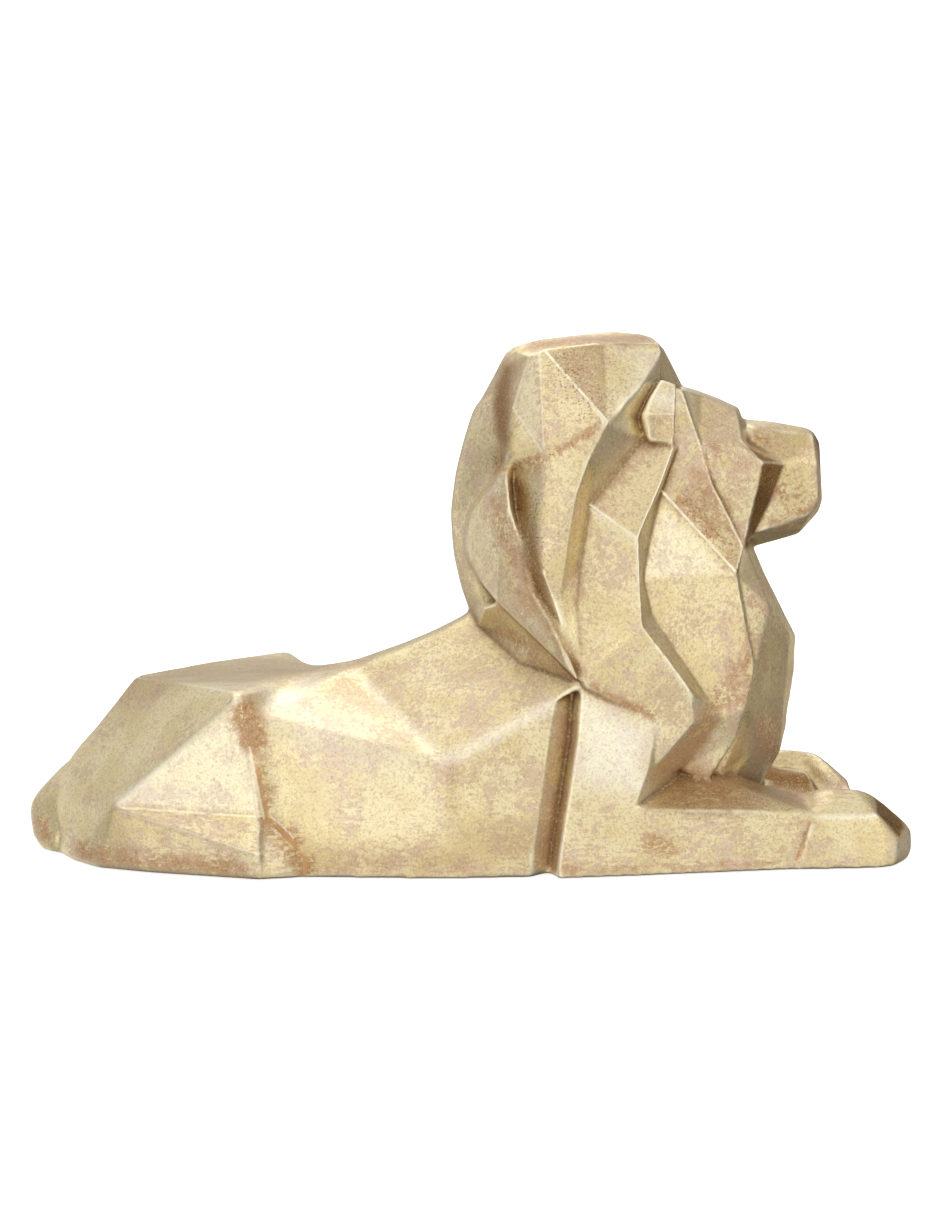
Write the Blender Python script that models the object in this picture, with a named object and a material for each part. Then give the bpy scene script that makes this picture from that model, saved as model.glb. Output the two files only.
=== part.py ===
# Reclining lion with faceted sides, one hollow casting modelled as one solid.
# X runs from the rump to the paws, Y across and Z up from the ground, in metres.
# The side at -Y is modelled from overlapping blocks, cut at the middle plane and mirrored.
# Every corner is (along, out, up): how far along from rump to paws in percent, percent of half
# the width out from the middle plane, and percent of the height.
import bmesh
import bpy
from mathutils import Vector
from mathutils.geometry import tessellate_polygon

# Driving sizes
length = 0.340        # rump to paw tips
height = 0.199        # ground to the crown of the mane
width = 0.134         # across the haunches
beltDepth = 0.0065    # valley behind the shoulder
legGap = 0.026        # clear ground between the forelegs
overlap = 0.003       # step by which each next block runs further past the middle plane
sunkFoot = 0.002      # how far the feet run below the ground before they are cut flat
mergeDistance = 1e-5
nodeName = "lion_figurine"
gilt = dict(color=(0.66, 0.53, 0.32, 1.0), roughness=0.4, metallic=0.75)

rearmost = 0.6        # the rump's place on the scale of along, where the length starts
foremost = 99.8       # the paw tips' place, where it ends
topmost = 99.4        # the crown's place on the scale of up
innerSide = 100 * legGap / width
toeSplay = 1.5        # percent of half the width by which the inner toe leans out
beltStep = 0.7        # how far the belt's floor lies behind the shoulder's edge, in percent
beltDrop = 0.8        # and below it


def place(along, out, up):
    x = (along - (rearmost + foremost) / 2) * length / (foremost - rearmost)
    z = up * height / topmost if up > 0 else -sunkFoot
    return Vector((x, -out * width / 200, z))


def chain(name, *corners):
    # Corners name1, name2 and so on, along one fold line
    return {f"{name}{count}": corner for count, corner in enumerate(corners, 1)}


def beside(name, line, along, inward, up):
    # A second line of corners, beside a first one by the same step
    return chain(name, *[(a + along, o - inward, u + up) for a, o, u in line.values()])


def band(first, start, second, secondStart, count):
    # Four-cornered facets between two lines of corners
    rows = []
    for step in range(count):
        a, b = start + step, secondStart + step
        rows.append(f"{first}{a} {second}{b} {second}{b + 1} {first}{a + 1}")
    return "\n".join(rows)


# The mane: crown, rear lock, long lock, middle lock with the ear's bed, and front lock
crown = dict(
    crownBack=(57.8, 35.5, 93.8), crownRidge=(58.7, 38, 94.2), crownPeak=(59.5, 38.5, 94.8),
    crownTop=(65.8, 37.5, 96.1), crownBrow=(72.2, 24, 96.5), browTip=(72.5, 27, 94.7),
    browFold=(69.5, 49, 87.3), crownFold=(65.4, 72, 80.4), crownFoot=(58.9, 73, 75),
    napeHigh=(55.8, 45, 83.8),
)
nape = chain("nape", (56.4, 18, 95.3), (54.6, 28, 87.2), (54.3, 34.5, 80), (55, 64, 73.1))
rearEdge = chain(
    "rearEdge", (51.3, 36.5, 65), (50.6, 32, 60.2), (50.8, 34, 55.9), (52.4, 46.5, 51.6),
    (54.2, 60.5, 48.1), (59.4, 78, 39.8),
)
rearLip = chain(
    "rearLip", (55.6, 66, 64.7), (56.3, 68, 57), (57.6, 72, 51.1), (59.4, 78, 45.9),
    (60.8, 82.5, 40.7), (62.3, 87.5, 35.2),
)
rearFloor = chain(
    "rearFloor", (55.7, 52, 72.9), (56.1, 59.5, 65), (57, 71, 57), (58.3, 71, 50.7),
    (60.3, 77.5, 45.5), (61.4, 80.5, 40.3),
)
longLip = chain(
    "longLip", (63.7, 74, 74.8), (62.2, 77, 67.7), (61.3, 78.5, 58), (60.6, 79.5, 49.7),
    (61.3, 80, 42.9), (62.9, 79.5, 34.4),
)
midFloor = chain(
    "midFloor", (63.9, 65, 65.9), (62.9, 69.5, 56.1), (62.5, 73.5, 48.6), (62.9, 80, 38.4),
)
midLip = chain(
    "midLip", (73, 56, 76.4), (71.4, 65, 69.5), (68.7, 76.5, 60.1), (68.8, 83, 49.3),
    (68.9, 86, 44.6), (71.5, 83.5, 39), (74.2, 81.5, 32.8), (74.6, 79.5, 26.8), (70.2, 77, 17.6),
)
frontFloor = chain(
    "frontFloor", (73.4, 47.5, 75.7), (71.9, 53, 68.7), (70.6, 62, 61.4), (69.4, 72.5, 52.9),
    (70.2, 73.5, 46.8), (74, 71, 37.1), (78, 68, 27.2), (74.3, 59, 17.2), (70.4, 73.5, 16.9),
)
frontEdge = chain(
    "frontEdge", (81.2, 57, 43), (82.1, 58, 35.9), (81, 62.5, 28.9), (79.9, 62.5, 22.7),
    (76.9, 58, 13.9), (74.1, 53, 15.9),
)
maneFolds = dict(
    longRidge=(58.3, 81, 56.3), midRidge=(66.3, 70, 64), midHeel=(63.8, 82, 37.1),
    midTip=(63.2, 80.5, 33.4), shoulderLip=(70.4, 79, 27.2), earBed1=(72.1, 31, 89.2),
    earBed2=(69.8, 44, 82.3), earBed3=(69.9, 51.5, 78.3), templeTop=(74.6, 35, 87.2),
    templeFoot=(73.9, 46.5, 76.6), cheekFold1=(76.2, 44, 77.9), cheekFold2=(77.4, 48.5, 70.1),
    cheekFold3=(81, 51.5, 58), frontPeak=(80.1, 55, 53.4), frontRidge=(72, 54, 67.4),
    frontTop=(73.6, 51.5, 69.8),
)
maneFacets = f"""
crownBack crownRidge crownFoot napeHigh
crownBack napeHigh nape2 nape1
napeHigh nape3 nape2
napeHigh nape4 nape3
crownRidge crownPeak crownFold crownFoot
crownPeak crownTop crownFold
crownTop crownBrow browTip browFold crownFold
browTip earBed1 earBed2 browFold
browFold earBed2 earBed3 crownFold
earBed1 templeTop templeFoot frontFloor1 midLip1 earBed3 earBed2
crownFold earBed3 midFloor1 longLip1
longLip1 midFloor1 longLip2
{band("longLip", 2, "midFloor", 1, 3)}
longLip5 midFloor4 longLip6
rearFloor1 crownFoot longRidge rearFloor3 rearFloor2
rearFloor3 longRidge longLip6 rearFloor6 rearFloor5 rearFloor4
crownFoot crownFold longLip1 longLip2 longRidge
longRidge longLip2 longLip3 longLip4 longLip5 longLip6
napeHigh crownFoot rearFloor1 nape4
nape4 rearFloor1 rearFloor2 rearLip1
{band("rearLip", 1, "rearFloor", 2, 4)}
rearLip5 rearFloor6 longLip6 rearLip6
nape4 rearEdge5 rearEdge4 rearEdge3 rearEdge2 rearEdge1
nape4 rearLip1 rearLip2 rearLip3 rearLip4 rearLip5 rearLip6 rearEdge6 rearEdge5
earBed3 midLip1 midLip2 midLip3 midRidge midFloor1
midFloor1 midRidge midLip3 midLip4 midLip5 midHeel midFloor4 midFloor3 midFloor2
midHeel midLip5 midLip6 midLip7 midLip8 midLip9 shoulderLip midTip
midFloor4 midHeel midTip longLip6
{band("midLip", 1, "frontFloor", 1, 4)}
midLip5 frontFloor5 frontFloor6 midLip7 midLip6
midLip7 frontFloor6 frontFloor7 midLip8
midLip8 frontFloor7 frontFloor8 frontFloor9 midLip9
frontFloor1 templeFoot frontTop frontRidge frontFloor2
templeTop cheekFold1 cheekFold2 frontTop templeFoot
frontTop cheekFold2 cheekFold3 frontPeak frontRidge
frontRidge frontPeak frontFloor4 frontFloor3 frontFloor2
frontFloor4 frontPeak frontEdge1 frontEdge2 frontEdge3 frontFloor7 frontFloor6 frontFloor5
frontFloor7 frontEdge3 frontEdge4 frontEdge5 frontEdge6 frontFloor8
"""

# The flank, the belt valley behind the shoulder, the shoulder and the ring under the mane
spine = chain(
    "spine", (33.3, 0, 33.4), (37.8, 0, 34.9), (43, 0, 37.7), (47.1, 0, 40.8), (51.1, 0, 44.6),
)
saddle = chain("saddle", (37.7, 16.5, 33.9), (43.2, 16.5, 37.5), (47.1, 15, 40.4), (51.1, 10.5, 44))
shoulderEdge = chain(
    "shoulderEdge", (62.9, 77.5, 33.1), (62.5, 82, 24.1), (60.6, 94, 5.2), (60.2, 97, 0),
)
beltFloor = beside("beltFloor", shoulderEdge, -beltStep, 200 * beltDepth / width, -beltDrop)
flank = dict(
    hip=(28.1, 85, 28.7), bellyPeak=(48.3, 91, 20.3), ribs=(60, 80.5, 30.7),
    ribsLow=(57.7, 94, 3.8), groin1=(29.5, 90.5, 11.7), groin2=(33.6, 93.5, 3),
    groin3=(33.8, 94.2, 0), bellyFoot=(48.3, 97, 0), ribsFoot=(57.7, 94, 0),
    neck1=(52.3, 20.2, 42.3), neck2=(56.5, 50.3, 36.7), ring1=(52.9, 33, 46.5),
    ring2=(59.5, 70, 38.9), ring3=(62.6, 77.5, 34), underMane1=(55.1, 50.5, 48.3),
    underMane2=(64.3, 65.5, 36.9), underMane3=(72.5, 65.5, 29.5), underMane4=(74.5, 59.5, 22.5),
    shoulderTop=(70.7, 79, 26.8), shoulderMid=(69.9, 81.5, 18.6), elbow=(68.4, 86.5, 11.9),
    elbowFoot=(68.9, 92.5, 0), armpit=(74.8, 53.5, 16.8), armpitLow=(71.9, 68.5, 14),
)
flankFacets = f"""
hip spine1 spine2 saddle1
hip saddle1 bellyPeak
hip bellyPeak bellyFoot groin3 groin2 groin1
{band("saddle", 1, "spine", 2, 3)}
saddle1 saddle2 saddle3 saddle4 neck1 neck2 ribs bellyPeak
bellyPeak ribs ribsLow
bellyPeak ribsLow ribsFoot bellyFoot
ribs beltFloor1 beltFloor2
ribs beltFloor2 beltFloor3 ribsLow
ribsLow beltFloor3 beltFloor4 ribsFoot
{band("beltFloor", 1, "shoulderEdge", 1, 3)}
spine5 ring1 neck1 saddle4
neck1 ring1 ring2 neck2
ring1 underMane1 ring2
underMane1 underMane2 ring2
ring2 underMane2 shoulderEdge1 ring3
neck2 ring2 ring3 ribs
ribs ring3 shoulderEdge1 beltFloor1
shoulderEdge1 shoulderTop shoulderMid elbow shoulderEdge3 shoulderEdge2
shoulderEdge3 elbow elbowFoot shoulderEdge4
shoulderEdge1 underMane2 underMane3 shoulderTop
shoulderTop underMane3 underMane4 shoulderMid
shoulderMid underMane4 armpit
shoulderMid armpit armpitLow elbow
"""

# The breast under the jaw, down to the forelegs
breastLine = chain(
    "breastLine", (84, -4.5, 58.6), (90, -4.5, 39.2), (89.9, -4.5, 32.9), (89.1, -4.5, 22.2),
    (88, -4.5, 15.1), (86.1, -4.5, 8.9),
)
breastInner = chain(
    "breastInner", (76.7, 39, 52.7), (77.2, 45, 35.3), (76.5, 50.5, 25.7), (75.5, 47, 15.5),
)
breast = dict(
    throat=(81.6, 36, 58.8), throatIn=(83.2, 18, 58.6), jawFold=(80.3, 52, 52.5),
    breastFold1=(84.4, 43.5, 46.4), breastPeak1=(87.8, 19.5, 40.9), breastFold2=(82.3, 55, 35.8),
    breastPeak2=(87.4, 19.5, 29.7), breastPeak3=(87, 19.5, 17.3), breastFold3=(83.4, 40.5, 20.2),
    breastFoot1=(80.6, 45, 14.4), breastFoot2=(84, 27, 9.8), breastSide1=(81.2, 59.5, 28.7),
    breastSide2=(78.9, 50, 15),
)
breastFacets = """
jawFold throat breastFold1 breastFold2
breastInner1 throat jawFold
breastInner1 jawFold breastFold2 breastInner2
breastInner2 breastFold2 breastSide1 breastInner3
breastInner3 breastSide1 breastSide2 breastInner4
throat throatIn breastPeak1 breastFold1
breastFold1 breastPeak1 breastPeak2 breastFold2
breastFold2 breastPeak2 breastPeak3 breastFold3 breastSide1
breastSide1 breastFold3 breastFoot1 breastSide2
breastFold3 breastPeak3 breastFoot2 breastFoot1
throatIn breastLine1 breastLine2 breastPeak1
breastPeak1 breastLine2 breastLine3 breastLine4 breastPeak2
breastPeak2 breastLine4 breastLine5 breastPeak3
breastPeak3 breastLine5 breastLine6 breastFoot2
"""

# The head: brow, cheek and the wall that steps in to the muzzle
browLine = chain(
    "browLine", (76, -4.5, 89.4), (78, -4.5, 88.5), (80.4, -4.5, 86.9), (82.5, -4.5, 85.3),
    (83.1, -4.5, 82.7),
)
cheekLip = chain(
    "cheekLip", (80.9, 39, 78), (83.1, 42, 73.9), (82.6, 42, 68.7), (82.1, 37.5, 63.5),
    (81.6, 31.5, 58.1),
)
muzzleFoot = chain(
    "muzzleFoot", (82.1, 27, 77.7), (86.1, 30, 73.7), (84.7, 30, 67.2), (83.5, 28.5, 62.7),
    (82.4, 25.5, 58.2),
)
head = dict(
    headTop=(74.5, 33, 87.5), headFold1=(76.2, 41.5, 77.7), headFold2=(77.5, 44.5, 70),
    headFold3=(81.5, 39, 57.6), brow1=(77.2, 22.5, 86.6), brow2=(81, 22.5, 83.6),
    brow3=(81.9, 22.5, 81.3), cheekRidge=(77.3, 45, 75.5),
)
headFacets = f"""
headTop browLine1 browLine2 brow1
brow1 browLine2 browLine3 browLine4 brow2
brow2 browLine4 browLine5 brow3
headTop brow1 brow2 cheekLip1 cheekRidge headFold1
cheekRidge cheekLip1 cheekLip2
headFold1 cheekRidge cheekLip2 cheekLip3 cheekLip4 cheekLip5 headFold3 headFold2
brow2 brow3 muzzleFoot1 cheekLip1
{band("cheekLip", 1, "muzzleFoot", 1, 4)}
"""

# Plain forms, each the smallest convex block around its corners
torsoCore = dict(
    rumpSide=(19, 67, 0), legSide=(68.8, 74.5, 0), rumpTop=(22, 40, 26.5), withers=(63, 37, 22),
    neckBase=(68.8, 30, 26), breastFoot=(75.8, 30, 0), breast=(75.8, 24, 18), rumpFoot=(9, 25, 0),
)
haunch = dict(
    valleyRear=(12.1, 4.5, 31.5), valleyMid=(17.5, 33, 32.3), valleyFront=(22.1, 58, 32.4),
    hipBack=(27.5, 86, 32.9), hipTop=(27.2, 87.5, 31.8), knee=(14.2, 85, 12.9),
    rumpTop=(4.9, 24, 15.6), rumpSide=(5.2, 40.5, 9.5), foot1=(6.1, 53.5, 0), foot2=(7.8, 64, 0),
    foot3=(11.4, 77.5, 0), foot4=(17.7, 86.5, 0), foot5=(29.9, 98.5, 0), frontMid=(29.6, 100, 5.8),
    frontTop=(29.7, 98.5, 12.3), spineRear=(13, -9, 30.6), spineFront=(26.4, -9, 29.6),
    loin=(33.2, -4.5, 32.9), coreTop=(33.7, 30, 27.5), coreHip=(30.8, 67, 27.5),
    coreFoot=(33.7, 74.5, 0), innerTop=(7.4, -9, 20), innerFoot=(7.4, -9, 0),
)
thighFront = dict(
    kneeTop=(29.6, 95.5, 12.2), foldMid=(32.7, 93.5, 6.6), foldLow=(33.6, 94.6, 2.7),
    foldFoot=(33.6, 95, 0), haunchFoot=(29.9, 98, 0), coreFoot=(22, 45, 0), coreTop=(22, 60, 15),
    coreFront=(33.6, 55, 0),
)
rump = dict(
    top=(4.5, 18, 15.2), slope=(2.2, 19.5, 11.1), rear1=(0.7, 24, 8), rear2=(0.6, 27, 5.9),
    rear3=(1.7, 36, 2.6), foot1=(3.6, 45, 0), foot2=(5.8, 52, 0), side1=(5, 37.5, 9.2),
    side2=(5.4, 49.5, 3.5), foot3=(4.6, 49.5, 0), coreTop=(13.3, 30, 20), coreFoot=(13.3, 30, 0),
)
foreleg = dict(
    elbow=(68.4, 86.5, 11.9), edgeMid=(75.5, 80.5, 10.1), wrist=(87.7, 74.5, 10.1),
    footRear=(68.9, 92.5, 0), footMid=(79.7, 85, 0), footFront=(86.2, 80.5, 0),
    wristFoot=(89.5, 79, 0), ridge1=(75.6, 49.5, 16.4), ridge2=(81.4, 43.5, 14.4),
    ridge3=(84.8, 43.5, 12.1), ridge4=(89.5, 43.5, 10.5), ridge5=(90.4, 43.5, 9.7),
    innerRear=(64.4, innerSide, 0), innerFront=(87.8, innerSide, 0), coreTop=(64.4, 30, 12),
    coreSide=(64.4, 74.5, 5),
)
paw = dict(
    wrist=(87.7, 74.5, 10.1), edgeFront=(94.8, 70, 9.5), top1=(89.7, 45, 12.6),
    top2=(91, 48, 13.2), top3=(93.4, 48, 12.8), top4=(95.3, 49.5, 11.8), top5=(96.6, 50.5, 10.2),
    tip1=(99.4, 50.5, 6), tip2=(99.6, 56.5, 5), tip3=(99.5, 59.5, 1.7), tipFoot=(98.9, 62.5, 0),
    toe1=(97.2, 68.5, 4.8), toe2=(96.2, 70, 6.1), foot1=(96.7, 76, 0), foot2=(95.2, 79, 0),
    foot3=(85.8, 82, 0), wristFold=(87.1, 78.5, 7.5), innerTip=(99.8, 45, 3),
    innerTipFoot=(98.1, 42, 0), innerFoot=(86.4, 39, 0), innerTop=(86.4, 42, 10),
)
innerToe = dict(
    footRear=(86.4, innerSide, 0), footMid=(94, innerSide + toeSplay, 0), footTip=(94.9, 30, 0),
    tip=(94.9, 30, 5), inner=(94, innerSide + 2 * toeSplay, 4), top=(93.1, 33, 9.5),
    topRear=(86.4, 39, 11), innerTop=(87.5, innerSide + 4 * toeSplay, 7.5), outer=(94, 43.5, 6),
    outerFoot=(95.1, 45, 0), rearFoot=(86.4, 42, 0),
)
maneBack = dict(
    foot=(51.2, 0, 44.6), back1=(50.2, 4.5, 49), back2=(49.3, 7.5, 56.4), back3=(49, 9, 64.5),
    back4=(49.6, 10.5, 72.7), back5=(50.5, 10.5, 78.5), back6=(51.6, 9, 84.3),
    back7=(52.1, 7.5, 85.7), side1=(52.9, 30, 46.4), side2=(51.3, 25.5, 55.3),
    side3=(54.3, 33, 80), side4=(54.6, 25.5, 85.8), core1=(68.8, 45, 65), core2=(68.8, 48, 40),
    core3=(60.1, 45, 60), core4=(60.1, 53.5, 45), core5=(74.7, 33, 55), core6=(75.8, 27, 30),
)
maneTop = dict(
    rear1=(52.5, 9, 86.5), rear2=(55.4, 12, 95.2), rear3=(56.5, 13.5, 96.4),
    top1=(59.2, 13.5, 97.6), top2=(67.4, 9, 99.4), top3=(70.7, 6, 99), top4=(72, 6, 98.3),
    top5=(73.4, 6, 96), brow=(75.6, 4.5, 89.1), side1=(57.9, 30, 94.2), side2=(59.5, 30, 95.1),
    side3=(65.5, 33, 96.3), side4=(72.1, 22.5, 96.6), nape1=(54.6, 27, 87.2),
    nape2=(56.5, 16.5, 95.3), core1=(68.8, 45, 65), core2=(60.1, 45, 65), core3=(71.8, 30, 70),
)
muzzle = dict(
    bridge1=(82, 6, 82.7), bridge2=(85.5, 10.5, 82), bridge3=(89.4, 12, 80.8),
    noseTop=(90.2, 13.5, 80), noseSide=(89.7, 21, 79.3), nose1=(91, 12, 77.9),
    nose2=(91, 12, 72.7), lip1=(91.5, 12, 66.8), lip2=(91.2, 10.5, 64.5), side1=(89.7, 22.5, 78.3),
    side2=(90.1, 24, 73.5), side3=(90.5, 22.5, 66.8), side4=(89.6, 22.5, 64),
    bridgeSide=(82.6, 24, 80.7), cheek1=(86.1, 30, 73.5), cheek2=(84.3, 28.5, 61.1),
    cheek3=(82.7, 27, 61.1), chin1=(88.9, 12, 60.2), chin2=(86.3, 12, 59.2),
    chin3=(83.7, 10.5, 57.6), core1=(71.8, 0, 70), core2=(74.7, 22.5, 67.5),
    core3=(74.7, 22.5, 56),
)
ear = dict(
    tip=(71.9, 42, 89.1), tipFront=(73.7, 42, 88.1), frontTop=(73.3, 49.5, 84.2),
    frontFoot=(73, 56.5, 76.8), rearFoot=(70.1, 61, 77.4), rearMid=(69.5, 53.5, 82.1),
    rearTop=(70.5, 50.5, 85.4), coreTop=(71.8, 0, 87.5), coreFoot=(70.3, 7.5, 75),
)
wholeForms = (torsoCore, rump, maneBack, maneTop, muzzle)
sideForms = (haunch, thighFront, foreleg, paw, innerToe, ear)


def meshObject(name, bm):
    bmesh.ops.remove_doubles(bm, verts=bm.verts[:], dist=mergeDistance)
    bmesh.ops.triangulate(bm, faces=bm.faces[:])
    bmesh.ops.recalc_face_normals(bm, faces=bm.faces[:])
    if bm.calc_volume(signed=True) < 0:
        bmesh.ops.reverse_faces(bm, faces=bm.faces[:])
    mesh = bpy.data.meshes.new(name)
    bm.to_mesh(mesh)
    bm.free()
    made = bpy.data.objects.new(name, mesh)
    bpy.context.scene.collection.objects.link(made)
    return made


def reliefBlock(name, corners, facets, behind):
    # Carved facets toward -Y, run back straight past the middle plane
    bm = bmesh.new()
    spots = {corner: bm.verts.new(place(*spot)) for corner, spot in corners.items()}
    for row in filter(None, facets.splitlines()):
        ring = [spots[corner] for corner in row.split()]
        outline = [Vector((vert.co.x, vert.co.z, 0)) for vert in ring]
        for triangle in tessellate_polygon([outline]):
            bm.faces.new([ring[index] for index in triangle])
    swept = bmesh.ops.extrude_face_region(bm, geom=bm.faces[:], use_keep_orig=True)
    for item in swept["geom"]:
        if isinstance(item, bmesh.types.BMVert):
            item.co.y = behind
    return meshObject(name, bm)


def convexBlock(name, corners, bothSides):
    bm = bmesh.new()
    for spot in corners.values():
        corner = place(*spot)
        bm.verts.new(corner)
        if bothSides:
            bm.verts.new((corner.x, -corner.y, corner.z))
    made = bmesh.ops.convex_hull(bm, input=bm.verts[:])
    inside = made["geom_interior"] + made["geom_unused"]
    spare = {item for item in inside if isinstance(item, bmesh.types.BMVert)}
    bmesh.ops.delete(bm, geom=list(spare), context="VERTS")
    return meshObject(name, bm)


def combine(body, others, operation):
    # One exact Boolean with all the other blocks at once
    blocks = bpy.data.collections.new("blocks")
    for other in others:
        blocks.objects.link(other)
    boolean = body.modifiers.new(operation.title(), "BOOLEAN")
    boolean.operation = operation
    boolean.solver = "EXACT"
    boolean.operand_type = "COLLECTION"
    boolean.collection = blocks
    graph = bpy.context.evaluated_depsgraph_get()
    joined = bpy.data.meshes.new_from_object(body.evaluated_get(graph))
    body.modifiers.clear()
    body.data = joined
    for other in others:
        bpy.data.objects.remove(other)
    bpy.data.collections.remove(blocks)


def groundBlock():
    # Everything below the ground, which trims the feet flat
    bm = bmesh.new()
    bmesh.ops.create_cube(bm, size=1)
    bmesh.ops.scale(bm, vec=(2 * length, 2 * width, height), verts=bm.verts[:])
    bmesh.ops.translate(bm, vec=(0, 0, -height / 2), verts=bm.verts[:])
    return meshObject("ground", bm)


def cutAtMiddle(body):
    bm = bmesh.new()
    bm.from_mesh(body.data)
    bmesh.ops.bisect_plane(
        bm, geom=bm.verts[:] + bm.edges[:] + bm.faces[:], dist=1e-7,
        plane_co=(0, 0, 0), plane_no=(0, 1, 0), clear_outer=True,
    )
    for vert in bm.verts:
        if abs(vert.co.y) < mergeDistance:
            vert.co.y = 0
    bmesh.ops.remove_doubles(bm, verts=bm.verts[:], dist=mergeDistance)
    bm.to_mesh(body.data)
    bm.free()


def giltMaterial():
    material = bpy.data.materials.new("rubbed gilt")
    material.use_nodes = True
    shader = material.node_tree.nodes["Principled BSDF"]
    shader.inputs["Base Color"].default_value = gilt["color"]
    shader.inputs["Roughness"].default_value = gilt["roughness"]
    shader.inputs["Metallic"].default_value = gilt["metallic"]
    return material


def buildLion():
    lion = reliefBlock(nodeName, flank | spine | saddle | shoulderEdge | beltFloor, flankFacets, overlap)
    locks = nape | rearEdge | rearLip | rearFloor | longLip | midFloor | midLip | frontFloor | frontEdge
    blocks = [
        reliefBlock("mane", crown | locks | maneFolds, maneFacets, 2 * overlap),
        reliefBlock("breast", breast | breastLine | breastInner, breastFacets, 3 * overlap),
        reliefBlock("head", head | browLine | cheekLip | muzzleFoot, headFacets, 4 * overlap),
    ]
    blocks += [convexBlock("form", corners, True) for corners in wholeForms]
    blocks += [convexBlock("form", corners, False) for corners in sideForms]
    combine(lion, blocks, "UNION")
    combine(lion, [groundBlock()], "DIFFERENCE")
    cutAtMiddle(lion)
    mirror = lion.modifiers.new("Other side", "MIRROR")
    mirror.use_axis = (False, True, False)
    mirror.use_mirror_merge = True
    mirror.merge_threshold = mergeDistance
    lion.data.materials.clear()
    lion.data.materials.append(giltMaterial())
    return lion


for old in list(bpy.data.objects):
    bpy.data.objects.remove(old)
buildLion()
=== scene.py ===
# Reclining lion figurine: one hollow casting with faceted sides, in rubbed champagne gilt
import itertools
import math

import bpy
import numpy as np
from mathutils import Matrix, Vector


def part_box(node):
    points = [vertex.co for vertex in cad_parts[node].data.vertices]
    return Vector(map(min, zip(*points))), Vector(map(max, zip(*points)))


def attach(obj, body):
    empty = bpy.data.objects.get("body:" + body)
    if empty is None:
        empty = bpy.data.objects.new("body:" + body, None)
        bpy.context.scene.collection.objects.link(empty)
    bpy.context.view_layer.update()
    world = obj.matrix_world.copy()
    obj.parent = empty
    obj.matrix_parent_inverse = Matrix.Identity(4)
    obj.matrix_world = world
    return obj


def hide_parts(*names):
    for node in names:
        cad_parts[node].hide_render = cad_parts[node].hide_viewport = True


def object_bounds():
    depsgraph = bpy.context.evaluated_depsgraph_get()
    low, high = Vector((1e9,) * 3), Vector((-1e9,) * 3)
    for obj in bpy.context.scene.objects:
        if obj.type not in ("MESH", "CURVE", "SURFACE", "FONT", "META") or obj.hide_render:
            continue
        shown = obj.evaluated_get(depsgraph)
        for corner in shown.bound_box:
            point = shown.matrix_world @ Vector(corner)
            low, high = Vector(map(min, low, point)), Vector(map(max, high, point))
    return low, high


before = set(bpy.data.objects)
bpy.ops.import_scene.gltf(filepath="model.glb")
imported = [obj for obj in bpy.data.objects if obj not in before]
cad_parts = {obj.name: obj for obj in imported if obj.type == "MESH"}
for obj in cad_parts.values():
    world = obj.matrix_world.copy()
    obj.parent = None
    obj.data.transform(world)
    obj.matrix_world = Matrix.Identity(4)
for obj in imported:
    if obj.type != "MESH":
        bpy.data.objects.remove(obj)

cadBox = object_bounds()
lionNode = "lion_figurine"
scene = bpy.context.scene
print("frame loaded")


# Places on the lion: along from rump to paws and up from the ground, both in percent of the box.
# A place with three numbers is (along, out, up), with out in percent of half the width
def spot(*place):
    low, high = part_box(lionNode)
    x, z = low.x + place[0] * (high.x - low.x) / 100, place[-1] * high.z / 100
    return np.array([x, z] if len(place) == 2 else [x, place[1] * high.y / 100, z])


def ease(share):
    # Held between 0 and 1, and smooth at both ends
    share = np.clip(share, 0, 1)
    return share * share * (3 - 2 * share)


def gapTo(points, a, b):
    # How far each point is from the straight line between a and b
    run = b - a
    share = np.clip((points - a) @ run / max(run @ run, 1e-12), 0, 1)
    return np.linalg.norm(points - a - share[:, None] * run, axis=1)


def nearLine(points, start, end, reach):
    # 1 on the line from start to end, falling smoothly to 0 at reach; seen from the side, or in
    # the round on both flanks alike if the places have three numbers
    own = np.abs(points) * (0, 1, 0) + points * (1, 0, 1) if len(start) == 3 else points[:, [0, 2]]
    return ease(1 - gapTo(own, spot(*start), spot(*end)) / reach)


def paint(points, strokes):
    # The strongest of several strokes at each point
    amount = np.zeros(len(points))
    for start, end, reach, strength in strokes.values():
        amount = np.maximum(amount, strength * nearLine(points, start, end, reach))
    return amount


def insideOf(points, corners, feather):
    # 1 inside the outline as seen from the side, fading to 0 over the feather
    side = points[:, [0, 2]]
    ring = [spot(*corner) for corner in corners]
    gap = np.full(len(points), np.inf)
    inside = np.zeros(len(points), bool)
    for a, b in zip(ring, ring[1:] + ring[:1]):
        gap = np.minimum(gap, gapTo(side, a, b))
        run = b - a
        crosses = (a[1] > side[:, 1]) != (b[1] > side[:, 1])
        inside ^= crosses & (side[:, 0] < a[0] + (side[:, 1] - a[1]) * run[0] / (run[1] or 1e-12))
    return ease(0.5 + np.where(inside, gap, -gap) / feather)


# The lion's skin: the solid on a fine grid, edges rounded as a mould leaves them.
# Lengths in metres
lionSkin = dict(
    grid=0.0007,
    edgeRounds=5,            # rounding of every edge
    softRounds=240,          # rounding of the soft folds below, at strength 1
    footSoftness=0.10,       # rounding all round the foot of the casting
    footReach=0.005,
    slowWave=0.00020,        # height of the slow unevenness of the planes
    slowWaveSize=0.021,
    slowWaveSeed=3,
    quickWave=0.00005,
    quickWaveSize=0.0055,
    quickWaveSeed=8,
    waveLattice=64,          # heights on each side before the unevenness repeats
    narrowRounds=12,         # smoothing that a ridge or a thin line is measured against
    wideRounds=150,          # and the same for a wide groove
    undersideBelow=0.0004,   # faces this low that look down get the underside's paint
    undersideFacing=-0.9,
    triangles=190000,
)

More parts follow.
